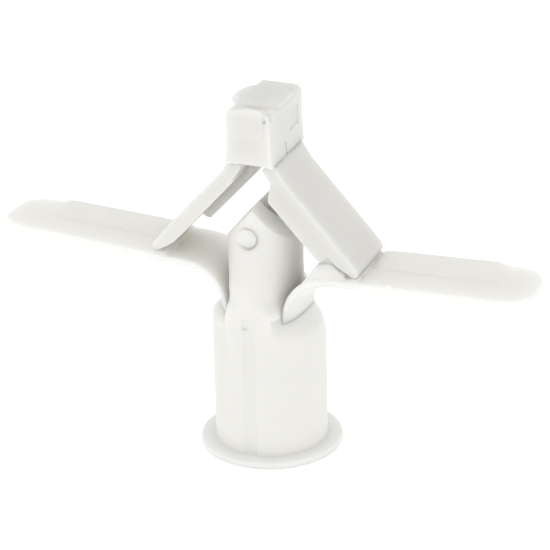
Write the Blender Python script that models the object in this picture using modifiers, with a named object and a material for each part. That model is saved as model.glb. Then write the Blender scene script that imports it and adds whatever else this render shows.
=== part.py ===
# Butterfly toggle anchor for hollow walls, moulded in one shot with living hinges.
# Metres, +Z up. The origin is the centre of the flange's underside. The wings reach
# along X, the mould opens along Y, and the screw runs up the Z axis.

import math

import bpy
import bmesh
from mathutils import Matrix, Vector

MM = 0.001

# Heights of the linkage, each one standing on the one before it
WING_HINGE_HEIGHT = 16.9 * MM
LINK_FOOT_RISE = 2.05 * MM
LINK_TOP_RISE = 8.4 * MM
HEAD_OVER_LINK_TOPS = 0.45 * MM
GUIDE_UNDER_LINK_TOPS = 3.85 * MM
LINK_FOOT_HEIGHT = WING_HINGE_HEIGHT + LINK_FOOT_RISE
LINK_TOP_HEIGHT = LINK_FOOT_HEIGHT + LINK_TOP_RISE

# Sleeve and flange, which sit in the wall's hole
FLANGE_RADIUS = 6.35 * MM
FLANGE_THICKNESS = 0.6 * MM
FLANGE_EDGE = 0.12 * MM
SLEEVE_RADIUS = 5.0 * MM
SLEEVE_LENGTH = 13.5 * MM
SHOULDER_CHAMFER = 0.85 * MM
BORE_RADIUS = 3.5 * MM
MOUTH_CHAMFER = 0.35 * MM
FLOOR_THICKNESS = 1.1 * MM
SEAM_BAND_WIDTH = 1.2 * MM
SEAM_BAND_DEPTH = 0.14 * MM
SEAM_BAND_TOP = 12.2 * MM

# Guide tube above the sleeve, cut to a gable that clears the links
GUIDE_RADIUS = 3.3 * MM
GUIDE_BORE_RADIUS = 2.4 * MM
GUIDE_RIDGE_HEIGHT = LINK_TOP_HEIGHT - GUIDE_UNDER_LINK_TOPS
GABLE_ANGLE = math.radians(50.0)
EJECTOR_RADIUS = 0.9 * MM
EJECTOR_DEPTH = 0.16 * MM
EJECTOR_UNDER_RIDGE = 2.2 * MM
EJECTOR_HEIGHT = GUIDE_RIDGE_HEIGHT - EJECTOR_UNDER_RIDGE

# Aprons, where the sleeve's front and back run up into the guide tube
APRON_HALF_WIDTH = 2.75 * MM
APRON_STRAIGHT_TOP = 16.2 * MM
APRON_TOP_UNDER_RIDGE = 3.3 * MM
APRON_TOP = GUIDE_RIDGE_HEIGHT - APRON_TOP_UNDER_RIDGE
APRON_STEPS = 8

# Straps that carry the wings
STRAP_HALF_WIDTH = 3.35 * MM
STRAP_FOOT_RADIUS = 4.22 * MM
STRAP_FLARE = 0.9 * MM
STRAP_INNER_OUT = 1.9 * MM
STRAP_SLOT = 0.5 * MM
STRAP_SLOT_FLOOR = 14.1 * MM

# Wings, in their own frame: along the wing, across it and square to it
WING_HINGE_OUT = 4.0 * MM
WING_REST_ANGLE = math.radians(3.0)
WING_LENGTH = 21.0 * MM
WING_HALF_WIDTH = 3.4 * MM
WING_THICKNESS = 1.36 * MM
WING_BELLY_RADIUS = 6.5 * MM
WING_TIP_LENGTH = 3.4 * MM
WING_TIP_FLAT = 0.9 * MM
WING_FACE_HEIGHT = 0.7 * MM
KNUCKLE_RADIUS = 0.68 * MM
RAISED_HEIGHT = 0.42 * MM
RAISED_START = 7.0 * MM
RAISED_END = 16.6 * MM
RAISED_RAMP = 0.9 * MM
SEAT_LENGTH = 2.2 * MM
HINGE_GAP = 0.3 * MM

# Links between the wings and the head
LINK_FOOT_OUT = 9.2 * MM
LINK_TOP_OUT = 1.65 * MM
LINK_HALF_WIDTH = 3.3 * MM
LINK_SKIN = 0.33 * MM
LINK_THICKNESS = 1.65 * MM
LINK_END_RADIUS = 0.45 * MM
LINK_FOOT_TAPER = 1.6 * MM
LINK_NECK_LENGTH = 1.4 * MM
LINK_NECK_THICKNESS = 0.78 * MM
LINK_RIB_HEIGHT = 0.78 * MM
LINK_RIB_START = 3.5 * MM
RIGHT_RIB_LONGER = 0.8 * MM
LINK_RIB_TOP_GAP = 2.2 * MM
LINK_RIB_MIDDLE_GAP = 0.15 * MM
LINK_RIB_SIDE_STEP = 0.02 * MM

# Head, which takes the screw
HEAD_HALF_WIDTH = 2.0 * MM
HEAD_HALF_DEPTH = 3.92 * MM
HEAD_BOTTOM = LINK_TOP_HEIGHT + HEAD_OVER_LINK_TOPS
HEAD_HEIGHT = 4.9 * MM
HEAD_EDGE = 0.3 * MM
HEAD_CORNER = 0.4 * MM
HEAD_PANEL_STEP = 0.35 * MM
HEAD_CORE_HALF_WIDTH = 1.0 * MM
HEAD_POCKET_HEIGHT = 2.35 * MM
HEAD_POCKET_CLEARANCE = 0.2 * MM
BOSS_RADIUS = 2.4 * MM
BOSS_HEIGHT = 0.3 * MM
BOSS_SINK = 0.3 * MM
SCREW_HOLE_RADIUS = 1.35 * MM
SCREW_HOLE_ROOF = 0.9 * MM

ROUND_STEPS = 64
SMALL_STEPS = 32
MERGE = 0.000001
OVERCUT = 0.5 * MM


def clear_scene():
    for obj in list(bpy.data.objects):
        bpy.data.objects.remove(obj, do_unlink=True)


def make_collection(name):
    collection = bpy.data.collections.new(name)
    bpy.context.scene.collection.children.link(collection)
    return collection


def natural_plastic(name, colour):
    material = bpy.data.materials.new(name)
    material.use_nodes = True
    shader = material.node_tree.nodes["Principled BSDF"]
    shader.inputs["Base Color"].default_value = (*colour, 1.0)
    shader.inputs["Roughness"].default_value = 0.42
    shader.inputs["Metallic"].default_value = 0.0
    return material


def add_object(name, mesh, parent=None, cutter=False):
    """Link a mesh as a part, or as a hidden tool shape for a Boolean."""
    obj = bpy.data.objects.new(name, mesh)
    (CUTTERS if cutter else PARTS).objects.link(obj)
    obj.hide_render = cutter
    if cutter:
        obj.display_type = "WIRE"
    obj.parent = parent
    return obj


def box_mesh(name, low, high):
    mesh = bpy.data.meshes.new(name)
    shape = bmesh.new()
    bmesh.ops.create_cube(shape, size=1.0)
    low, high = Vector(low), Vector(high)
    bmesh.ops.scale(shape, verts=shape.verts, vec=high - low)
    bmesh.ops.translate(shape, verts=shape.verts, vec=(low + high) / 2)
    shape.to_mesh(mesh)
    shape.free()
    return mesh


def rod_mesh(name, radius, low, high, axis="Z", steps=ROUND_STEPS):
    """A cylinder between two places on an axis; low and high are its end centres."""
    low, high = Vector(low), Vector(high)
    turn = {
        "X": Matrix.Rotation(math.pi / 2, 3, "Y"),
        "Y": Matrix.Rotation(math.pi / 2, 3, "X"),
        "Z": Matrix.Identity(3),
    }[axis]
    mesh = bpy.data.meshes.new(name)
    shape = bmesh.new()
    bmesh.ops.create_cone(
        shape,
        cap_ends=True,
        segments=steps,
        radius1=radius,
        radius2=radius,
        depth=(high - low).length,
    )
    bmesh.ops.rotate(shape, verts=shape.verts, matrix=turn)
    bmesh.ops.translate(shape, verts=shape.verts, vec=(low + high) / 2)
    shape.to_mesh(mesh)
    shape.free()
    return mesh


def arc(centre, radius, start, end, steps):
    """Points of an arc in a flat outline; the angles are in degrees."""
    angles = [math.radians(start + (end - start) * i / steps) for i in range(steps + 1)]
    return [(centre[0] + radius * math.cos(a), centre[1] + radius * math.sin(a)) for a in angles]


def outline_mesh(name, points, low, high, plane):
    """A flat outline given thickness from low to high, square to its plane."""
    curve = bpy.data.curves.new(name, "CURVE")
    curve.dimensions = "2D"
    curve.fill_mode = "BOTH"
    curve.extrude = (high - low) / 2
    spline = curve.splines.new("POLY")
    spline.points.add(len(points) - 1)
    for point, (across, along) in zip(spline.points, points):
        point.co = (across, along, 0.0, 1.0)
    spline.use_cyclic_u = True
    source = bpy.data.objects.new(name, curve)
    bpy.context.scene.collection.objects.link(source)
    graph = bpy.context.evaluated_depsgraph_get()
    mesh = bpy.data.meshes.new_from_object(source.evaluated_get(graph))
    bpy.data.objects.remove(source, do_unlink=True)
    bpy.data.curves.remove(curve)
    middle = Matrix.Translation((0.0, 0.0, (high + low) / 2))
    stand = Matrix.Rotation(math.pi / 2, 4, "X") @ Matrix.Diagonal((1.0, 1.0, -1.0, 1.0))
    mesh.transform((stand if plane == "XZ" else Matrix.Identity(4)) @ middle)
    shape = bmesh.new()
    shape.from_mesh(mesh)
    bmesh.ops.remove_doubles(shape, verts=shape.verts, dist=MERGE)
    bmesh.ops.recalc_face_normals(shape, faces=shape.faces)
    shape.to_mesh(mesh)
    shape.free()
    mesh.name = name
    return mesh


def turned_object(name, profile, cutter=False):
    """A solid of revolution from a profile of (radius, height) points, top to bottom."""
    mesh = bpy.data.meshes.new(name)
    shape = bmesh.new()
    rim = [shape.verts.new((radius, 0.0, height)) for radius, height in profile]
    for first, second in zip(rim, rim[1:]):
        shape.edges.new((first, second))
    shape.edges.new((rim[-1], rim[0]))
    shape.to_mesh(mesh)
    shape.free()
    obj = add_object(name, mesh, cutter=cutter)
    screw = obj.modifiers.new("turn", "SCREW")
    screw.axis = "Z"
    screw.angle = math.tau
    screw.steps = ROUND_STEPS
    screw.render_steps = ROUND_STEPS
    screw.use_merge_vertices = True
    screw.merge_threshold = MERGE
    screw.use_smooth_shade = False
    return obj


def combine(target, operation, *tools):
    for tool in tools:
        step = target.modifiers.new(operation.lower(), "BOOLEAN")
        step.operation = operation
        step.object = tool
        step.solver = "EXACT"


def pivot(name, out, height, angle):
    """An empty on a joint's axis, turned about Y; the pieces of that joint hang on it."""
    empty = bpy.data.objects.new(name, None)
    PARTS.objects.link(empty)
    empty.location = (out, 0.0, height)
    empty.rotation_euler = (0.0, angle, 0.0)
    return empty


def finish(obj, material):
    obj.data.materials.append(material)
    obj.data.shade_smooth()
    obj.data.set_sharp_from_angle(angle=math.radians(32.0))


def gable_cutter(side):
    """The wedge above one slope of the guide tube's gable."""
    reach = 3 * GUIDE_RADIUS
    drop = reach * math.tan(GABLE_ANGLE)
    ridge = (-side * OVERCUT, GUIDE_RIDGE_HEIGHT + OVERCUT * math.tan(GABLE_ANGLE))
    points = [
        ridge,
        (side * reach, GUIDE_RIDGE_HEIGHT - drop),
        (side * reach, GUIDE_RIDGE_HEIGHT + reach),
        (-side * OVERCUT, GUIDE_RIDGE_HEIGHT + reach),
    ]
    mesh = outline_mesh("gable_cut", points, -reach, reach, "XZ")
    return add_object("gable_cut", mesh, cutter=True)


def make_collar():
    """Flange, sleeve, guide tube and the two straps, all one moulding."""
    shoulder = SLEEVE_LENGTH - SHOULDER_CHAMFER
    guide_top = GUIDE_RIDGE_HEIGHT + OVERCUT
    floor = SLEEVE_LENGTH - FLOOR_THICKNESS
    collar = turned_object(
        "collar",
        [
            (GUIDE_RADIUS, guide_top),
            (GUIDE_RADIUS, SLEEVE_LENGTH),
            (SLEEVE_RADIUS - SHOULDER_CHAMFER, SLEEVE_LENGTH),
            (SLEEVE_RADIUS, shoulder),
            (SLEEVE_RADIUS, FLANGE_THICKNESS),
            (FLANGE_RADIUS - FLANGE_EDGE, FLANGE_THICKNESS),
            (FLANGE_RADIUS, FLANGE_THICKNESS - FLANGE_EDGE),
            (FLANGE_RADIUS, FLANGE_EDGE),
            (FLANGE_RADIUS - FLANGE_EDGE, 0.0),
            (BORE_RADIUS + MOUTH_CHAMFER, 0.0),
            (BORE_RADIUS, MOUTH_CHAMFER),
            (BORE_RADIUS, floor),
            (GUIDE_BORE_RADIUS, floor + (BORE_RADIUS - GUIDE_BORE_RADIUS) / 2),
            (GUIDE_BORE_RADIUS, guide_top),
        ],
    )
    combine(collar, "UNION", make_aprons())
    for side in (1, -1):
        inner = WING_HINGE_OUT - KNUCKLE_RADIUS - HINGE_GAP
        slot_low, slot_high = sorted((side * inner, side * (inner + STRAP_SLOT)))
        slot = box_mesh(
            "strap_slot",
            (slot_low, -SLEEVE_RADIUS, STRAP_SLOT_FLOOR),
            (slot_high, SLEEVE_RADIUS, guide_top + OVERCUT),
        )
        combine(collar, "UNION", make_strap(side))
        combine(collar, "DIFFERENCE", add_object("strap_slot", slot, cutter=True), gable_cutter(side))
    band = box_mesh(
        "seam_band",
        (-SEAM_BAND_WIDTH / 2, -SLEEVE_RADIUS - OVERCUT, FLANGE_THICKNESS + FLANGE_EDGE),
        (SEAM_BAND_WIDTH / 2, -SLEEVE_RADIUS + SEAM_BAND_DEPTH, SEAM_BAND_TOP),
    )
    mark = rod_mesh(
        "ejector_mark",
        EJECTOR_RADIUS,
        (0.0, -GUIDE_RADIUS - OVERCUT, EJECTOR_HEIGHT),
        (0.0, -GUIDE_RADIUS + EJECTOR_DEPTH, EJECTOR_HEIGHT),
        axis="Y",
        steps=SMALL_STEPS,
    )
    combine(
        collar,
        "DIFFERENCE",
        add_object("seam_band", band, cutter=True),
        add_object("ejector_mark", mark, cutter=True),
    )
    finish(collar, natural_plastic("collar_plastic", (0.79, 0.78, 0.73)))


def make_aprons():
    """The sleeve's front and back walls, which run up past the shoulder into the guide tube."""
    fall, drop = SLEEVE_RADIUS - GUIDE_RADIUS, APRON_TOP - APRON_STRAIGHT_TOP
    turns = [i / APRON_STEPS for i in range(APRON_STEPS + 1)]
    sweep = [
        (GUIDE_RADIUS - MERGE + fall * (1 - math.cos(math.pi * t)) / 2, APRON_TOP - drop * t)
        for t in turns
    ]
    root = (GUIDE_RADIUS + GUIDE_BORE_RADIUS) / 2
    foot = SLEEVE_LENGTH - SHOULDER_CHAMFER - FLOOR_THICKNESS / 2
    inner_foot = SLEEVE_LENGTH - FLOOR_THICKNESS / 2
    aprons = turned_object(
        "aprons",
        [(root, APRON_TOP), *sweep, (SLEEVE_RADIUS, foot), (root, inner_foot)],
        cutter=True,
    )
    keep = box_mesh(
        "apron_keep",
        (-APRON_HALF_WIDTH, -2 * SLEEVE_RADIUS, foot - OVERCUT),
        (APRON_HALF_WIDTH, 2 * SLEEVE_RADIUS, APRON_TOP + OVERCUT),
    )
    combine(aprons, "INTERSECT", add_object("apron_keep", keep, cutter=True))
    return aprons


def make_strap(side):
    """One strap: a slice of a bell, straight at the foot and flared where the wing hangs."""
    top = WING_HINGE_HEIGHT - KNUCKLE_RADIUS - HINGE_GAP
    strap = strap_bell("strap", top)
    near, far = STRAP_INNER_OUT, STRAP_FOOT_RADIUS + STRAP_FLARE + OVERCUT
    low, high = sorted((side * near, side * far))
    keep = box_mesh(
        "strap_keep",
        (low, -STRAP_HALF_WIDTH, SLEEVE_LENGTH - FLOOR_THICKNESS),
        (high, STRAP_HALF_WIDTH, top + OVERCUT),
    )
    combine(strap, "INTERSECT", add_object("strap_keep", keep, cutter=True))
    return strap


def strap_bell(name, top):
    """The turned bell that the straps are cut from: straight at the foot, flared above."""
    rise = top - SLEEVE_LENGTH
    steps = 6
    outer = [
        (STRAP_FOOT_RADIUS + STRAP_FLARE * (i / steps) ** 2, SLEEVE_LENGTH + rise * i / steps)
        for i in range(steps + 1)
    ]
    foot = SLEEVE_LENGTH - FLOOR_THICKNESS / 2
    inner = GUIDE_RADIUS - (GUIDE_RADIUS - GUIDE_BORE_RADIUS) / 2
    profile = [(inner, top)] + outer[::-1] + [(STRAP_FOOT_RADIUS, foot), (inner, foot)]
    return turned_object(name, profile, cutter=True)


def wing_outline(side):
    """The wing from above, in its own frame: straight sides and a rounded tip."""
    tip_start = WING_LENGTH - WING_TIP_LENGTH
    steps = 12
    points = [(0.0, -WING_HALF_WIDTH)]
    for i in range(2 * steps + 1):
        angle = -math.pi / 2 + math.pi * i / (2 * steps)
        across = (WING_HALF_WIDTH - WING_TIP_FLAT) * math.sin(angle) + WING_TIP_FLAT * math.copysign(
            min(1.0, 1.6 * abs(math.sin(angle))), math.sin(angle)
        )
        points.append((tip_start + WING_TIP_LENGTH * math.cos(angle), across))
    points.append((0.0, WING_HALF_WIDTH))
    return [(side * along, across) for along, across in points]


def make_wing(name, side, colour):
    """One wing: a flat-faced, round-bellied blade on a knuckle, with the link's seat."""
    hinge = pivot(name + "_pivot", side * WING_HINGE_OUT, WING_HINGE_HEIGHT, -side * WING_REST_ANGLE)
    face = WING_FACE_HEIGHT
    belly = face - WING_THICKNESS
    wing = add_object(
        name,
        outline_mesh(name, wing_outline(side), belly - OVERCUT, face, "XY"),
        parent=hinge,
    )
    round_belly = rod_mesh(
        "belly",
        WING_BELLY_RADIUS,
        (-side * WING_LENGTH, 0.0, belly + WING_BELLY_RADIUS),
        (2 * side * WING_LENGTH, 0.0, belly + WING_BELLY_RADIUS),
        axis="X",
        steps=2 * ROUND_STEPS,
    )
    combine(wing, "INTERSECT", add_object("belly", round_belly, hinge, cutter=True))
    knuckle = rod_mesh(
        "knuckle",
        KNUCKLE_RADIUS,
        (0.0, -STRAP_HALF_WIDTH + HINGE_GAP, 0.0),
        (0.0, STRAP_HALF_WIDTH - HINGE_GAP, 0.0),
        axis="Y",
        steps=SMALL_STEPS,
    )
    raised = outline_mesh(
        "raised_half",
        [
            (side * RAISED_START, face - RAISED_HEIGHT),
            (side * RAISED_START, face + RAISED_HEIGHT),
            (side * (RAISED_END - RAISED_RAMP), face + RAISED_HEIGHT),
            (side * RAISED_END, face),
            (side * RAISED_END, face - RAISED_HEIGHT),
        ],
        0.0,
        WING_HALF_WIDTH - RAISED_HEIGHT / 2,
        "XZ",
    )
    seat_top = link_foot_height_over_wing() - LINK_END_RADIUS - HINGE_GAP
    centre = link_foot_along_wing()
    seat = box_mesh(
        "seat",
        (side * centre - SEAT_LENGTH / 2, -LINK_HALF_WIDTH, face - RAISED_HEIGHT),
        (side * centre + SEAT_LENGTH / 2, LINK_HALF_WIDTH, seat_top),
    )
    combine(
        wing,
        "UNION",
        add_object("knuckle", knuckle, hinge, cutter=True),
        add_object("raised_half", raised, hinge, cutter=True),
        add_object("seat", seat, hinge, cutter=True),
    )
    finish(wing, natural_plastic(name + "_plastic", colour))


def link_foot_along_wing():
    """How far out along the wing its link's foot hinge lies."""
    out, up = LINK_FOOT_OUT - WING_HINGE_OUT, LINK_FOOT_HEIGHT - WING_HINGE_HEIGHT
    return out * math.cos(WING_REST_ANGLE) + up * math.sin(WING_REST_ANGLE)


def link_foot_height_over_wing():
    """How high above the wing's hinge plane its link's foot hinge lies."""
    out, up = LINK_FOOT_OUT - WING_HINGE_OUT, LINK_FOOT_HEIGHT - WING_HINGE_HEIGHT
    return up * math.cos(WING_REST_ANGLE) - out * math.sin(WING_REST_ANGLE)


def make_link(name, side, colour):
    """One link, in its own frame: +Z runs from its foot to its top, X square to its faces."""
    run, rise = LINK_FOOT_OUT - LINK_TOP_OUT, LINK_TOP_HEIGHT - LINK_FOOT_HEIGHT
    length, lean = math.hypot(run, rise), math.atan2(run, rise)
    foot = pivot(name + "_pivot", side * LINK_FOOT_OUT, LINK_FOOT_HEIGHT, -side * lean)
    inner = LINK_SKIN - LINK_THICKNESS
    neck = LINK_SKIN - LINK_NECK_THICKNESS
    neck_start = length - LINK_NECK_LENGTH
    foot_end = arc((LINK_SKIN - LINK_END_RADIUS, 0.0), LINK_END_RADIUS, 0, -150, 10)
    top_middle = (LINK_SKIN + neck) / 2
    top_end = arc((top_middle, length), LINK_NECK_THICKNESS / 2, 180, 0, 10)
    points = [
        *foot_end,
        (inner, LINK_FOOT_TAPER),
        (inner, neck_start - (neck - inner) / 2),
        (neck, neck_start),
        *top_end,
    ]
    mesh = outline_mesh(
        name, [(side * x, z) for x, z in points], -LINK_HALF_WIDTH, LINK_HALF_WIDTH, "XZ"
    )
    link = add_object(name, mesh, parent=foot)
    rib_end = length - LINK_RIB_TOP_GAP
    rib_floor = inner - LINK_RIB_HEIGHT
    rib_round = LINK_RIB_HEIGHT
    rib_start = LINK_RIB_START - (RIGHT_RIB_LONGER if side > 0 else 0.0)
    rib_points = [
        (inner + LINK_RIB_HEIGHT / 2, rib_end),
        (rib_floor, rib_end - LINK_RIB_HEIGHT / 2),
        *arc((rib_floor + rib_round, rib_start + rib_round), rib_round, 180, 270, 8),
        (inner + LINK_RIB_HEIGHT / 2, rib_start),
    ]
    near, far = LINK_RIB_MIDDLE_GAP, LINK_HALF_WIDTH - LINK_RIB_SIDE_STEP
    low, high = (near, far) if side < 0 else (-far, -near)
    rib = outline_mesh("rib", [(side * x, z) for x, z in rib_points], low, high, "XZ")
    combine(link, "UNION", add_object("rib", rib, foot, cutter=True))
    finish(link, natural_plastic(name + "_plastic", colour))


def make_head():
    """The block that the screw bites, with pockets that the links' tops swing in."""
    top = HEAD_BOTTOM + HEAD_HEIGHT
    width, corner = HEAD_HALF_WIDTH, HEAD_CORNER
    face = [
        (-width, HEAD_BOTTOM),
        (width, HEAD_BOTTOM),
        *arc((width - HEAD_EDGE, top - HEAD_EDGE), HEAD_EDGE, 0, 90, 4),
        *arc((corner - width, top - corner), corner, 90, 180, 8),
    ]
    head = add_object("head", outline_mesh("head", face, -HEAD_HALF_DEPTH, HEAD_HALF_DEPTH, "XZ"))
    boss = rod_mesh("boss", BOSS_RADIUS, (0, 0, top - BOSS_SINK), (0, 0, top + BOSS_HEIGHT))
    combine(head, "UNION", add_object("boss", boss, cutter=True))
    pocket_depth = LINK_HALF_WIDTH + HEAD_POCKET_CLEARANCE
    for side in (1, -1):
        near, far = sorted((side * HEAD_CORE_HALF_WIDTH, side * (HEAD_HALF_WIDTH + OVERCUT)))
        pocket = box_mesh(
            "pocket",
            (near, -pocket_depth, HEAD_BOTTOM - OVERCUT),
            (far, pocket_depth, HEAD_BOTTOM + HEAD_POCKET_HEIGHT),
        )
        combine(head, "DIFFERENCE", add_object("pocket", pocket, cutter=True))
    hole = rod_mesh(
        "screw_hole",
        SCREW_HOLE_RADIUS,
        (0, 0, HEAD_BOTTOM - OVERCUT),
        (0, 0, top + BOSS_HEIGHT - SCREW_HOLE_ROOF),
        steps=SMALL_STEPS,
    )
    combine(head, "DIFFERENCE", add_object("screw_hole", hole, cutter=True))
    finish(head, natural_plastic("head_plastic", (0.77, 0.76, 0.72)))


clear_scene()
PARTS = make_collection("butterfly_toggle_anchor")
CUTTERS = make_collection("cutters")
CUTTERS.hide_render = True
make_collar()
make_wing("right_wing", 1, (0.82, 0.81, 0.77))
make_wing("left_wing", -1, (0.81, 0.81, 0.77))
make_link("right_link", 1, (0.73, 0.72, 0.67))
make_link("left_link", -1, (0.74, 0.73, 0.68))
make_head()
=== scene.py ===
"""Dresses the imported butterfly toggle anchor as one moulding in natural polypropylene."""

import math

import bmesh
import bpy
from bpy.props import FloatProperty, FloatVectorProperty, PointerProperty
from mathutils import Matrix, Vector


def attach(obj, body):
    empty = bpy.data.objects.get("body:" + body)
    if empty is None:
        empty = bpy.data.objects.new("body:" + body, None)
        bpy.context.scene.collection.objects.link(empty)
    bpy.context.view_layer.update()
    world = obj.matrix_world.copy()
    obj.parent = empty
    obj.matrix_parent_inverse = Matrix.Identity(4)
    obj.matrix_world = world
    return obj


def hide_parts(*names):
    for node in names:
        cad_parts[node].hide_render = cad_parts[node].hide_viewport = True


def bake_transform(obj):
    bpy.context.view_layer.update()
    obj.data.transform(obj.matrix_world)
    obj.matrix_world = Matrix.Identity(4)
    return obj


bl_info = {
    "name": "Butterfly Toggle Anchor",
    "version": (1, 0, 0),
    "blender": (4, 5, 0),
    "location": "View3D > Sidebar > Anchor",
    "description": "Builds a moulded butterfly toggle anchor over its packed frame",
    "category": "Object",
}

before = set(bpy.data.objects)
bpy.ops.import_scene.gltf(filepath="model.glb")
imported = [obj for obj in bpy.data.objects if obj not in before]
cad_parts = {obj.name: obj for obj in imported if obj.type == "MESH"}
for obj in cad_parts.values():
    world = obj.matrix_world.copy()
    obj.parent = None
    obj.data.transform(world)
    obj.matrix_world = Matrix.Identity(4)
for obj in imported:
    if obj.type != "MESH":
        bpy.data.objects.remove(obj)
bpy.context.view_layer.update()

MM = 0.001
WORK = "anchor_work"
# Edges bent by more than this many degrees are shaded sharp
SHARP_ANGLE = 35.0
# Points closer than this, in mm, are one point
JOIN_DISTANCE = 0.002


# Small helpers


def linear(code):
    """An sRGB hex code as linear red, green, blue and alpha."""
    parts = [int(code[i : i + 2], 16) / 255 for i in (1, 3, 5)]
    return [p / 12.92 if p <= 0.04045 else ((p + 0.055) / 1.055) ** 2.4 for p in parts] + [1.0]


def shade_mesh(mesh):
    """Smooth shading, apart from the mesh's sharp edges."""
    mesh.shade_smooth()
    mesh.set_sharp_from_angle(angle=math.radians(SHARP_ANGLE))


def piece_object(name, bm):
    """Turns a bmesh into an object, still measured in millimetres until it is finished."""
    mesh = bpy.data.meshes.new(name)
    bm.to_mesh(mesh)
    bm.free()
    shade_mesh(mesh)
    obj = bpy.data.objects.new(name, mesh)
    bpy.context.scene.collection.objects.link(obj)
    return obj


def tidy(bm):
    """Merges doubles, drops the lines that a spin leaves on its axis and turns faces outward."""
    bmesh.ops.remove_doubles(bm, verts=bm.verts, dist=JOIN_DISTANCE)
    axis_lines = [e for e in bm.edges if not e.link_faces]
    bmesh.ops.delete(bm, geom=axis_lines, context="EDGES")
    bmesh.ops.recalc_face_normals(bm, faces=bm.faces)
    if bm.calc_volume(signed=True) < 0:
        bmesh.ops.reverse_faces(bm, faces=bm.faces)


def closed_loop(bm, points):
    """A ring of edges through the given points."""
    made = bmesh.ops.create_circle(bm, cap_ends=False, segments=len(points), radius=1.0)
    for vert, point in zip(made["verts"], points):
        vert.co = point
    return made["verts"]


def ring_edges(bm, ring):
    """The edges from each point of a ring to the next, back to the first."""
    return [bm.edges.get(pair) for pair in zip(ring, ring[1:] + ring[:1])]


def loft(bm, sections):
    """A closed skin drawn from section to section, each a ring of the same number of points."""
    ring = closed_loop(bm, sections[0])
    first = ring_edges(bm, ring)
    for section in sections[1:]:
        edges = ring_edges(bm, ring)
        made = bmesh.ops.extrude_edge_only(bm, edges=edges)
        fresh = {v for v in made["geom"] if isinstance(v, bmesh.types.BMVert)}
        following = []
        for old, point in zip(ring, section):
            new = next(e.other_vert(old) for e in old.link_edges if e.other_vert(old) in fresh)
            new.co = point
            following.append(new)
        ring = following
    bmesh.ops.edgeloop_fill(bm, edges=first)
    bmesh.ops.edgeloop_fill(bm, edges=ring_edges(bm, ring))


def slab(bm, outline, low, high):
    """A flat (x, z) outline pulled along Y from low to high."""
    ring = closed_loop(bm, [Vector((x, low, z)) for x, z in outline])
    face = bmesh.ops.edgeloop_fill(bm, edges=ring_edges(bm, ring))["faces"]
    made = bmesh.ops.extrude_face_region(bm, geom=face)["geom"]
    moved = [v for v in made if isinstance(v, bmesh.types.BMVert)]
    bmesh.ops.translate(bm, verts=moved, vec=(0.0, high - low, 0.0))


def block(bm, low, high):
    """A box between two opposite corners."""
    made = bmesh.ops.create_cube(bm, size=1.0)
    low, high = Vector(low), Vector(high)
    bmesh.ops.scale(bm, verts=made["verts"], vec=high - low)
    bmesh.ops.translate(bm, verts=made["verts"], vec=(low + high) / 2)


def rod(bm, radius, low, high, segments, taper=None):
    """A cylinder, or a cone when taper gives the far radius, between two points."""
    low, high = Vector(low), Vector(high)
    span = high - low
    turn = span.to_track_quat("Z", "Y").to_matrix()
    made = bmesh.ops.create_cone(
        bm,
        cap_ends=True,
        segments=segments,
        radius1=radius,
        radius2=radius if taper is None else taper,
        depth=span.length,
    )
    bmesh.ops.rotate(bm, verts=made["verts"], matrix=turn)
    bmesh.ops.translate(bm, verts=made["verts"], vec=(low + high) / 2)


def turned(bm, profile, steps=128):
    """A solid of revolution about Z from a closed (radius, height) profile."""
    ring = closed_loop(bm, [Vector((r, 0.0, z)) for r, z in profile])
    bmesh.ops.spin(
        bm,
        geom=ring + ring_edges(bm, ring),
        cent=(0.0, 0.0, 0.0),
        axis=(0.0, 0.0, 1.0),
        angle=math.tau,
        steps=steps,
        use_merge=True,
    )
    # Turned by part of a step, so that no later cut meets its corners edge on
    part_step = 0.41 * math.tau / steps
    bmesh.ops.rotate(bm, verts=bm.verts, matrix=Matrix.Rotation(part_step, 3, "Z"))


def soften(bm, radius, angle):
    """Rounds the edges that bend by more than an angle, as a polished mould leaves them."""
    limit = math.radians(angle)
    edges = [e for e in bm.edges if len(e.link_faces) == 2 and e.calc_face_angle() > limit]
    bmesh.ops.bevel(
        bm,
        geom=edges,
        offset=radius,
        offset_type="OFFSET",
        affect="EDGES",
        segments=2,
        profile=0.5,
        material=-1,
        clamp_overlap=True,
    )


def cut(target, operation, *tools):
    """Joins tools to a piece, or takes them out of it, and removes the tools."""
    for tool in tools:
        step = target.modifiers.new(operation.lower(), "BOOLEAN")
        step.operation = operation
        step.object = tool
        step.solver = "EXACT"
    graph = bpy.context.evaluated_depsgraph_get()
    mesh = bpy.data.meshes.new_from_object(target.evaluated_get(graph))
    old = target.data
    target.modifiers.clear()
    mesh.name = target.name
    target.data = mesh
    bpy.data.meshes.remove(old)
    for tool in tools:
        data = tool.data
        bpy.data.objects.remove(tool, do_unlink=True)
        bpy.data.meshes.remove(data)
    shade_mesh(mesh)


def tool_from(build):
    """A working shape for cut(), made by a function that fills a bmesh."""
    bm = bmesh.new()
    build(bm)
    tidy(bm)
    return piece_object(WORK, bm)


def smooth_step(value):
    """Eases from 0 to 1 as the value goes from 0 to 1."""
    value = min(1.0, max(0.0, value))
    return value * value * (3 - 2 * value)


def along(points, t):
    """A point on a smooth curve through the given ones, with t from 0 to their count less 1."""
    last = len(points) - 1
    index = min(int(t), last - 1)
    f = t - index
    before = points[max(index - 1, 0)]
    start, end = points[index], points[index + 1]
    after = points[min(index + 2, last)]
    return tuple(
        0.5
        * (
            2 * b
            + (c - a) * f
            + (2 * a - 5 * b + 4 * c - d) * f * f
            + (3 * b - a - 3 * c + d) * f * f * f
        )
        for a, b, c, d in zip(before, start, end, after)
    )


# Sizes and colours that a user would change


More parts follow.
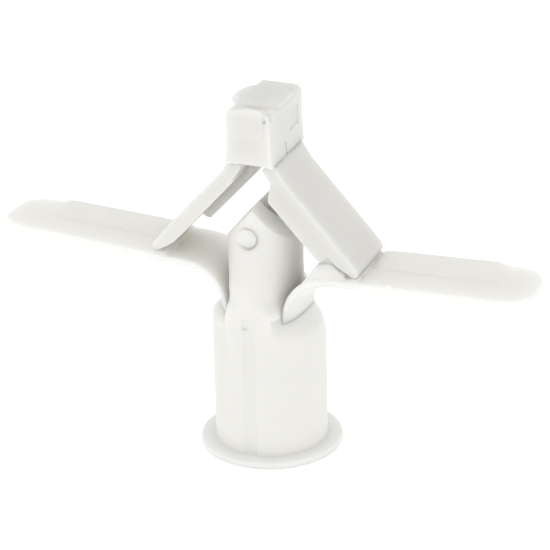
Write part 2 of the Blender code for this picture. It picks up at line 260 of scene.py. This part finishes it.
class AnchorSizes(bpy.types.PropertyGroup):
    sleeve_radius: FloatProperty(
        name="Sleeve radius", description="Outer radius of the sleeve, in mm", default=5.0
    )
    flange_radius: FloatProperty(
        name="Flange radius", description="Outer radius of the flange, in mm", default=6.34
    )
    flange_thickness: FloatProperty(
        name="Flange thickness", description="Thickness of the flange, in mm", default=0.6
    )
    sleeve_length: FloatProperty(
        name="Sleeve length", description="Height of the sleeve's shoulder, in mm", default=13.5
    )
    ridge_height: FloatProperty(
        name="Ridge height", description="Height of the gable ridge's ends, in mm", default=23.5
    )
    wing_half_width: FloatProperty(
        name="Wing half-width", description="Half the width of a wing, in mm", default=3.4
    )
    link_half_width: FloatProperty(
        name="Link half-width", description="Half the width of a link, in mm", default=3.3
    )
    edge_rounding: FloatProperty(
        name="Edge rounding", description="Radius of the links' edges, in mm", default=0.1
    )


class AnchorColours(bpy.types.PropertyGroup):
    resin: FloatVectorProperty(
        name="Resin",
        description="Colour of the natural polypropylene",
        subtype="COLOR",
        size=4,
        min=0.0,
        max=1.0,
        default=linear("#EAE9E5"),
    )
    floor: FloatVectorProperty(
        name="Floor",
        description="Colour of the studio floor",
        subtype="COLOR",
        size=4,
        min=0.0,
        max=1.0,
        default=linear("#FFFFFF"),
    )


# Natural polypropylene


def add_node(tree, kind, settings=(), inputs=(), links=()):
    """Adds a node with its settings, input values and links from (node, output) to its inputs."""
    node = tree.nodes.new(kind)
    for name, value in dict(settings).items():
        setattr(node, name, value)
    for name, value in dict(inputs).items():
        node.inputs[name].default_value = value
    for name, (source, output) in dict(links).items():
        tree.links.new(source.outputs[output], node.inputs[name])
    return node


def natural_polypropylene(name, tint, haze):
    """Injection-moulded natural polypropylene.

    To the eye it is a milky off-white with a satin sheen. Light spreads a millimetre or two
    inside it, so its shadows and corners stay soft, and the flow of the melt leaves faint clouds.
    """
    found = bpy.data.materials.get(name)
    if found:
        return found
    material = bpy.data.materials.new(name)
    material.use_nodes = True
    tree = material.node_tree
    shader = tree.nodes["Principled BSDF"]
    # Clouds about 6 mm across: the resin reads slightly darker where the melt flowed slower
    place = add_node(tree, "ShaderNodeTexCoord")
    clouds = add_node(
        tree,
        "ShaderNodeTexNoise",
        inputs={"Scale": 1 / (6 * MM), "Detail": 3.0, "Roughness": 0.5},
        links={"Vector": (place, "Object")},
    )
    base = Vector(tint[:3])
    shade = add_node(tree, "ShaderNodeValToRGB", links={"Fac": (clouds, "Fac")})
    shade.color_ramp.elements[0].position = 0.3
    shade.color_ramp.elements[0].color = (*(base * haze), 1.0)
    shade.color_ramp.elements[1].position = 0.7
    shade.color_ramp.elements[1].color = (*base, 1.0)
    tree.links.new(shade.outputs["Color"], shader.inputs["Base Color"])
    # The mould's fine texture, about 0.25 mm across, which spreads the highlights to a satin sheen
    grain = add_node(
        tree,
        "ShaderNodeTexNoise",
        inputs={"Scale": 1 / (0.25 * MM), "Detail": 2.0},
        links={"Vector": (place, "Object")},
    )
    gloss = add_node(
        tree,
        "ShaderNodeMapRange",
        inputs={"To Min": 0.36, "To Max": 0.5},
        links={"Value": (grain, "Fac")},
    )
    tree.links.new(gloss.outputs["Result"], shader.inputs["Roughness"])
    bump = add_node(
        tree,
        "ShaderNodeBump",
        inputs={"Strength": 0.12, "Distance": 0.02 * MM},
        links={"Height": (grain, "Fac")},
    )
    tree.links.new(bump.outputs["Normal"], shader.inputs["Normal"])
    shader.inputs["IOR"].default_value = 1.49
    shader.inputs["Subsurface Weight"].default_value = 1.0
    shader.inputs["Subsurface Radius"].default_value = (1.0, 0.96, 0.9)
    shader.inputs["Subsurface Scale"].default_value = 1.6 * MM
    return material


def dress(obj, name, haze, shaded_tone=1.0):
    """Brings a finished piece to metres and gives it its resin.

    Shaded tone is how bright the piece is beside the resin's own colour, a painted shade that
    darkens a piece which stands in more shade, and haze how bright its dark clouds are beside the
    piece.
    """
    obj.data.transform(Matrix.Scale(MM, 4))
    obj.data.materials.clear()
    # A tone below 1 darkens the whole piece's resin: painted shade, not a different plastic
    resin = [shaded_tone * part for part in bpy.context.scene.anchor_colours.resin]
    obj.data.materials.append(natural_polypropylene(name, resin, haze))


# Collar: flange, sleeve and guide tube

# The guide body from the sleeve up, as (height, half-width, half-depth, squareness)
GUIDE_SECTIONS = [
    (12.3, 2.6, 4.88, 7.0),
    (12.6, 2.62, 5.01, 7.0),
    (13.4, 2.62, 5.01, 6.0),
    (14.0, 2.64, 5.01, 4.4),
    (14.6, 2.66, 5.01, 2.9),
    (15.2, 2.74, 5.0, 2.25),
    (15.8, 2.88, 4.95, 2.1),
    (16.6, 2.95, 4.8, 2.0),
    (17.4, 3.03, 4.5, 2.0),
    (18.4, 3.13, 4.12, 2.0),
    (19.6, 3.2, 3.8, 2.0),
    (21.2, 3.25, 3.55, 2.0),
    (24.3, 3.28, 3.4, 2.0),
]
# Points round each section, and sections made for each one listed
GUIDE_POINTS, GUIDE_STEPS = 72, 3
# No section reaches farther out than this, just outside the sleeve's surface
GUIDE_REACH = 5.012
# Above the sleeve the guide body stands a little to the left
GUIDE_SHIFT, SHIFT_START, SHIFT_SPAN = -0.15, 13.4, 2.4
# The flare under the right strap, as (height, radius)
FLARE_PROFILE = [
    (10.3, 5.06),
    (10.75, 4.96),
    (11.3, 4.88),
    (11.7, 4.76),
    (12.1, 4.5),
    (12.5, 4.2),
    (12.9, 3.98),
    (13.4, 3.87),
    (13.8, 3.86),
]
FLARE_RADIUS, FLARE_OUTSIDE = 5.06, 6.2
# The flare's half-angle, the angle over which it fades out and its steps
FLARE_ANGLE, FLARE_FADE, FLARE_STEPS = 72, 24, 24
GABLE_SLOPE = math.tan(math.radians(50.0))
# How far the ridge's middle stands above its ends, which are this far from the middle
RIDGE_CROWN, RIDGE_HALF = 0.35, 3.4


def guide_body(bm, grow=0.0):
    """The body round the guide bore: flat-sided where it leaves the sleeve, an ellipse above."""
    rings = []
    last = len(GUIDE_SECTIONS) - 1
    for step in range(GUIDE_STEPS * last + 1):
        z, half, depth, square = along(GUIDE_SECTIONS, step / GUIDE_STEPS)
        shift = GUIDE_SHIFT * smooth_step((z - SHIFT_START) / SHIFT_SPAN)
        ring = []
        for i in range(GUIDE_POINTS):
            # Part of a step round, so that no point lies on an axis
            angle = math.tau * (i + 0.37) / GUIDE_POINTS
            c, s = math.cos(angle), math.sin(angle)
            x = math.copysign(abs(c) ** (2 / square), c) * (half + grow)
            y = math.copysign(abs(s) ** (2 / square), s) * (depth + grow)
            inward = min(1.0, (GUIDE_REACH + grow) / math.hypot(x, y))
            ring.append(Vector((x * inward + shift, y * inward, z)))
        rings.append(ring)
    loft(bm, rings)


def gable_tool(side, ridge):
    """The space above one slope of the roof, whose ridge is crowned along its length."""

    def build(bm):
        # The tool passes the ridge by a little, and the body by a lot
        past, reach, clear = 0.3, 8.0, 6.0
        rings = []
        for y in (-reach, -3.4, -2.6, -1.8, -0.9, 0.0, 0.9, 1.8, 2.6, 3.4, reach):
            top = ridge + RIDGE_CROWN * max(0.0, 1 - (y / RIDGE_HALF) ** 2)
            rings.append(
                [
                    Vector((-side * past, y, top + past * GABLE_SLOPE)),
                    Vector((side * reach, y, top - reach * GABLE_SLOPE)),
                    Vector((side * reach, y, top + clear)),
                    Vector((-side * past, y, top + clear)),
                ]
            )
        loft(bm, rings)

    return build


class ANCHOR_OT_collar(bpy.types.Operator):
    """Builds the flange, sleeve, guide body and its gabled top"""

    bl_idname = "anchor.collar"
    bl_label = "Collar"

    def execute(self, context):
        s = context.scene.anchor_sizes
        chamfer = 0.9
        shoulder = s.sleeve_length - chamfer
        # Radii of the screw's way through the sleeve and through the guide body
        bore, guide_bore = 3.5, 1.6
        bm = bmesh.new()
        turned(
            bm,
            [
                (0.0, s.sleeve_length),
                (4.15, s.sleeve_length),
                (4.22, s.sleeve_length - 0.03),
                (s.sleeve_radius - 0.04, shoulder + 0.08),
                (s.sleeve_radius, shoulder),
                (s.sleeve_radius, s.flange_thickness + 0.12),
                (s.sleeve_radius + 0.04, s.flange_thickness + 0.03),
                (s.sleeve_radius + 0.12, s.flange_thickness),
                (s.flange_radius - 0.16, s.flange_thickness),
                (s.flange_radius - 0.04, s.flange_thickness - 0.06),
                (s.flange_radius, s.flange_thickness - 0.18),
                (s.flange_radius, 0.14),
                (s.flange_radius - 0.04, 0.04),
                (s.flange_radius - 0.14, 0.0),
                (0.0, 0.0),
            ],
        )
        tidy(bm)
        collar = piece_object("collar_moulding", bm)
        cut(collar, "UNION", tool_from(guide_body))

        def bore_way(bm):
            turned(
                bm,
                [
                    (0.0, -0.25),
                    (bore + 0.6, -0.25),
                    (bore + 0.1, 0.1),
                    (bore, 0.35),
                    (bore, s.sleeve_length - 1.9),
                    (guide_bore, s.sleeve_length - 0.5),
                    (guide_bore, s.ridge_height + 2.0),
                    (0.0, s.ridge_height + 2.0),
                ],
                steps=96,
            )

        def strap_flare(bm):
            # On the right the shoulder sinks in a smooth flare where the strap leaves it
            rings = []
            for z, radius in FLARE_PROFILE:
                inner, outer = [], []
                for i in range(FLARE_STEPS + 1):
                    angle = math.radians(-FLARE_ANGLE + 2 * FLARE_ANGLE * i / FLARE_STEPS)
                    share = smooth_step((FLARE_ANGLE - abs(math.degrees(angle))) / FLARE_FADE)
                    sunk = (FLARE_RADIUS - radius) * share
                    cos, sin = math.cos(angle), math.sin(angle)
                    inner.append(Vector((FLARE_RADIUS * cos - sunk, FLARE_RADIUS * sin, z)))
                    outer.append(Vector((FLARE_OUTSIDE * cos, FLARE_OUTSIDE * sin, z)))
                rings.append(inner + outer[::-1])
            loft(bm, rings)

        def seam_band(bm):
            block(bm, (-0.58, -6.0, 0.74), (0.58, -4.9, 13.7))

        def gate_pit(bm):
            block(bm, (-0.6, -6.0, 12.72), (-0.12, -4.75, 12.95))

        # The ejector pin's mark is a flat disc in a narrow sunk ring
        mark_x, mark_z = -0.46, 20.8

        def mark(bm):
            rod(bm, 1.02, (mark_x, -5.0, mark_z), (mark_x, -3.3, mark_z), segments=48)

        def mark_disc(bm):
            rod(bm, 0.84, (mark_x, -3.0, mark_z), (mark_x, -3.6, mark_z), segments=48)

        gables = gable_tool(1, s.ridge_height), gable_tool(-1, s.ridge_height)
        for build in (*gables, bore_way, strap_flare, seam_band, gate_pit, mark):
            cut(collar, "DIFFERENCE", tool_from(build))
        cut(collar, "UNION", tool_from(mark_disc))
        dress(collar, "natural_polypropylene_thick", haze=0.975)
        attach(collar, "collar")
        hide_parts("collar")
        return {"FINISHED"}


# Wings, each bending out of its strap


# The strap's bend, each row of it as (out, up) for the keel, the belly's edges, the top face's
# edges and the top face's middle
STRAP_BEND = [
    ((3.85, 12.5), (2.5, 12.5), (2.2, 12.5), (2.5, 12.5)),
    ((3.85, 13.7), (2.86, 13.82), (2.55, 13.9), (2.6, 13.9)),
    ((3.93, 14.4), (3.11, 14.84), (2.82, 14.95), (3.0, 14.9)),
    ((4.15, 15.0), (3.46, 15.65), (3.17, 15.8), (3.35, 15.6)),
    ((4.55, 15.45), (4.1, 16.51), (3.85, 16.72), (3.8, 16.35)),
    ((5.15, 15.85), (4.9, 17.18), (4.65, 17.38), (4.6, 17.05)),
    ((5.9, 16.08), (5.7, 17.4), (5.5, 17.74), (5.5, 17.5)),
    ((6.9, 16.2), (6.9, 17.54), (6.8, 17.92), (6.8, 17.86)),
]
# Sections made for each row, then the round belly's radius and its steps across
BEND_STEPS = 4
BELLY_RADIUS, BELLY_STEPS = 5.0, 14
# The blade: where it starts, how high its top is there, and where its tip starts to narrow
BLADE_START, BLADE_TOP, TIP_START = 8.2, 17.98, 21.7
BLADE_STEPS, TIP_STEPS = 12, 12
# Each wing's tip, by side
TIP = {1: 24.75, -1: 24.6}
# The belly's edge below the top face, and how much thicker and lower the blade is at its tip
EDGE, TIP_EDGE, TIP_DROP = 0.4, 0.1, 0.2
# The tip narrows as this power of a cosine, down to this half-width
TIP_POWER, TIP_HALF = 0.6, 0.3
# How far each wing rises for each millimetre out, and how much faster its front edge does, which
# lies TWIST_REACH in front of the middle
WING_SLOPES = {1: (0.03, -0.008), -1: (0.062, 0.01)}
TWIST_REACH = 3.4
# The rear half of the top face is raised, as (out, share of the rise)
RISES = [
    (9.6, 0.0),
    (9.8, 0.75),
    (10.4, 0.92),
    (11.4, 1.0),
    (15.8, 1.0),
    (19.9, 1.0),
    (20.3, 0.9),
    (21.1, 0.12),
    (21.4, 0.0),
]


def sag(y):
    """How far the round belly has left its keel at a distance from the middle."""
    return BELLY_RADIUS - math.sqrt(BELLY_RADIUS**2 - y**2)


class ANCHOR_OT_wings(bpy.types.Operator):
    """Builds both wings with the straps that they bend out of"""

    bl_idname = "anchor.wings"
    bl_label = "Wings"

    def execute(self, context):
        for side, name in ((1, "right_wing"), (-1, "left_wing")):
            self.build(context, side, name)
        return {"FINISHED"}

    def section(self, side, keel, lower, upper, middle, half):
        """A ring round the wing: the round belly from the front edge to the back, then the top."""
        full = sag(half)
        ring = []
        for way, centre, edge in ((1, keel, lower), (-1, middle, upper)):
            for i in range(BELLY_STEPS + 1):
                y = way * (-half + 2 * half * i / BELLY_STEPS)
                share = sag(y) / full
                out, up = (a + (b - a) * share for a, b in zip(centre, edge))
                ring.append(Vector((side * out, y, up)))
        return ring

    def build(self, context, side, name):
        s = context.scene.anchor_sizes
        sections = []
        for i in range(BEND_STEPS * (len(STRAP_BEND) - 1) + 1):
            rows = [along(row, i / BEND_STEPS) for row in zip(*STRAP_BEND)]
            sections.append(self.section(side, *rows, s.wing_half_width))
        for i in range(BLADE_STEPS + 1):
            out = BLADE_START + (TIP_START - BLADE_START) * i / BLADE_STEPS
            sections.append(self.blade_section(side, out, s.wing_half_width, 0.0))
        for i in range(1, TIP_STEPS + 1):
            f = i / TIP_STEPS
            out = TIP_START + (TIP[side] - TIP_START) * math.sin(f * math.pi / 2)
            half = s.wing_half_width * math.cos(f * math.pi / 2) ** TIP_POWER
            sections.append(self.blade_section(side, out, max(half, TIP_HALF), f))
        bm = bmesh.new()
        loft(bm, sections)
        tidy(bm)
        wing = piece_object(name + "_blade", bm)

        def raised(bm):
            rings = []
            for out, rise in RISES:
                outline = [
                    (0.05, -0.3),
                    (0.05, 0.03 + 0.07 * rise),
                    (0.3, 0.03 + 0.12 * rise),
                    (1.7, 0.02 + 0.3 * rise),
                    (3.1, 0.44 * rise),
                    (3.3, 0.36 * rise - 0.03),
                    (3.36, -0.3),
                ]
                rings.append(
                    [Vector((side * out, y, self.top(side, out, y) + up)) for y, up in outline]
                )
            loft(bm, rings)

        def foot(bm):
            # The low mound that the link is hinged on
            slab(
                bm,
                [
                    (side * 8.2, self.top(side, 8.2) - 0.5),
                    (side * 8.3, self.top(side, 8.3) + 0.1),
                    (side * 8.62, self.top(side, 8.62) + 0.22),
                    (side * 9.2, self.top(side, 9.1) + 0.3),
                    (side * 9.55, self.top(side, 9.5) + 0.2),
                    (side * 9.8, self.top(side, 9.7) - 0.5),
                ],
                -s.link_half_width,
                s.link_half_width,
            )

        def nub(bm):
            out, up = side * 12.4, 17.9
            rod(bm, 0.4, (out, -3.1, up), (out, -3.42, up), segments=32)

        cut(wing, "UNION", tool_from(raised), tool_from(foot), tool_from(nub))
        if side > 0:
            cut(wing, "UNION", self.gusset(s))
        dress(wing, "natural_polypropylene_thin", haze=0.985)
        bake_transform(wing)
        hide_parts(name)

    def top(self, side, out, y=0.0):
        """The height of the wing's top face."""
        slope, twist = WING_SLOPES[side]
        return BLADE_TOP + (slope - twist * y / TWIST_REACH) * (out - BLADE_START)

    def blade_section(self, side, out, half, tipping):
        """A section of the flat blade, where tipping goes from 0 to 1 along the tip."""
        top = self.top(side, out) - TIP_DROP * tipping**2
        edge = top - (EDGE + TIP_EDGE * tipping)
        lower, keel = (out, edge), (out, edge - sag(half))
        ring = self.section(side, keel, lower, (out, top), (out, top), half)
        lean = WING_SLOPES[side][1] * (out - BLADE_START) / TWIST_REACH
        for point in ring:
            point.z -= lean * point.y
        return ring

    def gusset(self, s):
        """The web in front of the right wing's root, which stays clear of the link's rib."""

        def build(bm):
            slab(
                bm,
                [
                    (2.9, 14.86),
                    (3.28, 15.59),
                    (3.92, 16.5),
                    (4.46, 17.3),
                    (4.72, 17.58),
                    (5.1, 18.17),
                    (5.57, 18.85),
                    (5.8, 19.02),
                    (6.44, 19.26),
                    (6.82, 19.46),
                    (7.32, 19.2),
                    (7.62, 18.94),
                    (8.28, 18.56),
                    (8.6, 17.7),
                    (6.4, 17.4),
                    (4.9, 16.9),
                    (4.2, 16.4),
                    (3.6, 15.6),
                    (3.2, 14.86),
                ],
                -s.link_half_width + 0.01,
                -0.15,
            )

        web = tool_from(build)
        # The guide body, turned back to where it meets the folding wing, hollows the web
        hinge, clearance = Vector((4.0, 0.0, 16.9)), 0.08
        for fold in (86.4, 74.0, 62.0):

            def folded_guide(bm):
                guide_body(bm, grow=clearance)
                turn = Matrix.Rotation(math.radians(fold), 3, "Y")
                bmesh.ops.rotate(bm, verts=bm.verts, cent=hinge, matrix=turn)

            cut(web, "DIFFERENCE", tool_from(folded_guide))
        return web


# Links between the wings and the head


# A link's hinge on its wing and its top under the head, as (out, up)
LINK_FOOT, LINK_TOP = Vector((9.2, 18.95)), Vector((1.65, 27.35))


class ANCHOR_OT_links(bpy.types.Operator):
    """Builds both links, each with its rib on the half that clears the other"""

    bl_idname = "anchor.links"
    bl_label = "Links"

    def execute(self, context):
        for side, name in ((1, "right_link"), (-1, "left_link")):
            self.build(context, side, name)
        return {"FINISHED"}

    def build(self, context, side, name):
        s = context.scene.anchor_sizes
        axis = (LINK_TOP - LINK_FOOT).normalized()
        outward = Vector((axis.y, -axis.x))
        length = (LINK_TOP - LINK_FOOT).length

        def at(t, n):
            """The (x, z) point t along the link from its foot and n outside its axis."""
            p = LINK_FOOT + axis * t + outward * n
            return (side * p.x, p.y)

        bar_outline = [
            at(-0.55, -0.28),
            at(-0.52, -0.02),
            at(-0.38, 0.16),
            at(-0.15, 0.27),
            at(0.2, 0.32),
            at(0.8, 0.34),
            at(length - 1.7, 0.36),
            at(length - 1.0, 0.45),
            at(length - 0.35, 0.58),
            at(length, 0.58),
            at(length + 0.33, 0.3),
            at(length + 0.45, 0.05),
            at(length + 0.45, -0.42),
            at(length + 0.36, -0.57),
            at(length - 0.94, -0.76),
            at(length - 1.25, -0.96),
            at(1.6, -0.98),
            at(1.1, -0.92),
            at(0.1, -0.6),
            at(-0.35, -0.5),
        ]
        bm = bmesh.new()
        slab(bm, bar_outline, -s.link_half_width, s.link_half_width)
        tidy(bm)
        soften(bm, s.edge_rounding, angle=60.0)
        bar = piece_object(name + "_bar", bm)

        def rib(bm):
            # The right link's rib is on the front half and longer, the left one's is on the back
            start, end, deep = (2.5, 9.2, 2.1) if side > 0 else (3.7, 9.8, 1.75)
            low, high = (-s.link_half_width, -0.08) if side > 0 else (0.08, s.link_half_width)
            slab(
                bm,
                [
                    at(start - 0.17, -0.8),
                    at(start - 0.12, -1.3),
                    at(start, 0.14 - deep),
                    at(start + 0.14, 0.02 - deep),
                    at(end, -0.02 - deep),
                    at(end + 0.35, 0.3 - deep),
                    at(end + 0.8, 0.9 - deep),
                    at(end + 1.1, -0.8),
                ],
                low,
                high,
            )
            tidy(bm)
            soften(bm, 0.07, angle=40.0)

        def step(bm):
            # The front half of the outer face stands a little proud of the back half
            slab(
                bm,
                [
                    at(0.9, 0.2),
                    at(1.0, 0.4),
                    at(length - 1.3, 0.4),
                    at(length - 1.2, 0.2),
                ],
                -s.link_half_width + 0.25,
                -0.1,
            )

        cut(bar, "UNION", tool_from(rib), tool_from(step))
        # The links' resin is darkened to 0.89 of the rest: painted shade for faces that turn away
        # from the light
        dress(bar, "natural_polypropylene_link_shaded", haze=0.975, shaded_tone=0.89)
        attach(bar, name)
        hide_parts(name)


# Head that takes the screw


class ANCHOR_OT_head(bpy.types.Operator):
    """Builds the head block, its boss, front plate and screw hole"""

    bl_idname = "anchor.head"
    bl_label = "Head"

    def execute(self, context):
        bm = bmesh.new()
        half, low, high, depth = 2.0, 27.8, 32.7, 3.92
        slab(
            bm,
            [
                (-half - 0.24, low - 0.2),
                (-half - 0.15, low + 0.4),
                (-half - 0.05, low + 1.5),
                (-half, low + 2.8),
                (-half, high - 0.5),
                (-half + 0.06, high - 0.27),
                (-half + 0.25, high - 0.07),
                (-half + 0.5, high),
                (half - 0.62, high),
                (half - 0.3, high - 0.08),
                (half - 0.08, high - 0.3),
                (half, high - 0.62),
                (half, low + 2.4),
                (half + 0.04, low + 1.2),
                (half + 0.12, low + 0.3),
                (half + 0.18, low - 0.15),
                (half - 0.5, low + 0.04),
                (-half + 0.5, low + 0.04),
            ],
            -depth,
            depth,
        )
        tidy(bm)
        soften(bm, 0.16, angle=50.0)
        head = piece_object("head_block", bm)

        def boss(bm):
            rod(bm, 2.8, (0, 0, high - 0.1), (0, 0, high + 0.3), segments=72, taper=2.3)
            tidy(bm)
            soften(bm, 0.1, angle=30.0)

        def boss_trim(bm):
            # On the right the boss slopes down to the flank's edge
            slab(
                bm,
                [
                    (1.1, high + 0.32),
                    (2.0, high - 0.03),
                    (4.0, high - 1.0),
                    (4.0, high + 1.0),
                    (1.1, high + 1.0),
                ],
                -4.0,
                4.0,
            )

        def front_plate(bm):
            # The front plate stands a little above the block behind it
            slab(
                bm,
                [
                    (-1.72, 30.2),
                    (-1.76, 31.3),
                    (-1.68, 31.95),
                    (-1.42, 32.45),
                    (-0.95, 32.8),
                    (-0.4, 32.95),
                    (0.6, 32.95),
                    (1.2, 32.85),
                    (1.42, 32.5),
                    (1.42, 30.2),
                ],
                -depth - 0.06,
                -depth + 0.42,
            )
            tidy(bm)
            soften(bm, 0.05, angle=50.0)

        def hole(bm):
            # Blind, and closed by a cone
            radius = 1.35
            profile = [(0.0, low - 1), (radius, low - 1), (radius, high - 1.3), (0.0, high - 0.7)]
            turned(bm, profile, steps=48)

        def flank_slot(bm):
            block(bm, (1.8, -0.5, low - 0.5), (2.4, -0.1, 28.9))

        def flank_recess(bm):
            block(bm, (1.88, 0.9, 29.5), (2.4, 3.0, 31.2))

        def corner(bm):
            block(bm, (1.5, -3.56, 31.9), (2.5, -3.26, 33.2))

        def pit(bm):
            block(bm, (1.48, -4.2, 31.86), (1.64, -3.7, 32.12))

        trimmed_boss = tool_from(boss)
        cut(trimmed_boss, "DIFFERENCE", tool_from(boss_trim))
        cut(head, "UNION", trimmed_boss)
        cut(head, "UNION", tool_from(front_plate))
        for build in (hole, flank_slot, flank_recess, corner, pit):
            cut(head, "DIFFERENCE", tool_from(build))
        # The head's resin is darkened to 0.92 of the rest: painted shade, not a different plastic
        dress(head, "natural_polypropylene_head_shaded", haze=0.97, shaded_tone=0.92)
        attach(head, "head")
        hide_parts("head")
        return {"FINISHED"}


# Studio


class ANCHOR_OT_stage(bpy.types.Operator):
    """Sets the pale floor, the soft lights and the camera"""

    bl_idname = "anchor.stage"
    bl_label = "Stage"

    def execute(self, context):
        scene = context.scene
        bm = bmesh.new()
        half_side = 1500.0
        bmesh.ops.create_grid(bm, x_segments=1, y_segments=1, size=half_side)
        floor = piece_object("floor", bm)
        floor.data.transform(Matrix.Scale(MM, 4))
        # White seamless paper: matt, with a faint glow, so that the part stands on plain white
        material = bpy.data.materials.new("white_paper_sweep")
        material.use_nodes = True
        shader = material.node_tree.nodes["Principled BSDF"]
        shader.inputs["Base Color"].default_value = scene.anchor_colours.floor
        shader.inputs["Roughness"].default_value = 0.9
        shader.inputs["Emission Color"].default_value = (1.0, 1.0, 1.0, 1.0)
        shader.inputs["Emission Strength"].default_value = 0.2
        floor.data.materials.append(material)

        world = bpy.data.worlds.new("studio")
        scene.world = world
        world.use_nodes = True
        back = world.node_tree.nodes["Background"]
        back.inputs["Color"].default_value = (1.0, 1.0, 1.0, 1.0)
        back.inputs["Strength"].default_value = 0.91

        self.lamp("key", 0.17, (-0.14, -0.36, 0.04), 0.3)
        self.lamp("fill", 0.05, (0.3, -0.14, 0.05), 0.2)
        scene.view_settings.view_transform = "Standard"
        self.camera(scene)
        return {"FINISHED"}

    def lamp(self, name, watts, place, size):
        """A square soft light that faces the part's middle."""
        data = bpy.data.lights.new(name, "AREA")
        data.energy = watts
        data.size = size
        obj = bpy.data.objects.new(name, data)
        bpy.context.scene.collection.objects.link(obj)
        obj.location = place
        aim = Vector((0.0, 0.0, 0.017)) - Vector(place)
        obj.rotation_euler = aim.to_track_quat("-Z", "Y").to_euler()

    def camera(self, scene):
        """The photograph's viewpoint, from lines measured on the part."""
        azimuth, elevation = math.radians(22.48), math.radians(24.29)
        centre, distance = Vector((0.0, 0.0, 17.0)), 279.2
        focal_pixels, picture_pixels = 3189.2, 550
        back = Vector(
            (
                math.sin(azimuth) * math.cos(elevation),
                -math.cos(azimuth) * math.cos(elevation),
                math.sin(elevation),
            )
        )
        right = Vector((math.cos(azimuth), math.sin(azimuth), 0.0))
        up = back.cross(right)
        rows = Matrix((right, up, back))
        tilt = (
            Matrix.Rotation(math.radians(1.42), 3, "Z")
            @ Matrix.Rotation(math.radians(0.2), 3, "X")
            @ Matrix.Rotation(math.radians(0.12), 3, "Y")
        )
        turn = (tilt @ rows).transposed()
        data = bpy.data.cameras.new("camera")
        data.sensor_width = 36.0
        data.lens = focal_pixels / picture_pixels * data.sensor_width
        data.clip_start, data.clip_end = 0.01, 10.0
        camera = bpy.data.objects.new("camera", data)
        scene.collection.objects.link(camera)
        place = (centre + back * distance) * MM
        camera.matrix_world = Matrix.LocRotScale(place, turn.to_quaternion(), None)
        scene.camera = camera


class ANCHOR_PT_panel(bpy.types.Panel):
    """Lists the anchor's pieces in the 3D view's sidebar"""

    bl_idname = "ANCHOR_PT_panel"
    bl_label = "Toggle anchor"
    bl_space_type = "VIEW_3D"
    bl_region_type = "UI"
    bl_category = "Anchor"

    def draw(self, context):
        layout = self.layout
        for group in (context.scene.anchor_sizes, context.scene.anchor_colours):
            for name in group.__annotations__:
                layout.prop(group, name)
        for operator in OPERATORS:
            layout.operator(operator.bl_idname)


OPERATORS = (
    ANCHOR_OT_collar,
    ANCHOR_OT_wings,
    ANCHOR_OT_links,
    ANCHOR_OT_head,
    ANCHOR_OT_stage,
)
CLASSES = (AnchorSizes, AnchorColours, *OPERATORS, ANCHOR_PT_panel)


def register():
    for cls in CLASSES:
        bpy.utils.register_class(cls)
    bpy.types.Scene.anchor_sizes = PointerProperty(type=AnchorSizes)
    bpy.types.Scene.anchor_colours = PointerProperty(type=AnchorColours)


def unregister():
    del bpy.types.Scene.anchor_colours
    del bpy.types.Scene.anchor_sizes
    for cls in reversed(CLASSES):
        bpy.utils.unregister_class(cls)


def main():
    register()
    bpy.ops.anchor.collar()
    bpy.ops.anchor.wings()
    bpy.ops.anchor.links()
    bpy.ops.anchor.head()
    bpy.ops.anchor.stage()


if __name__ == "__main__":
    main()
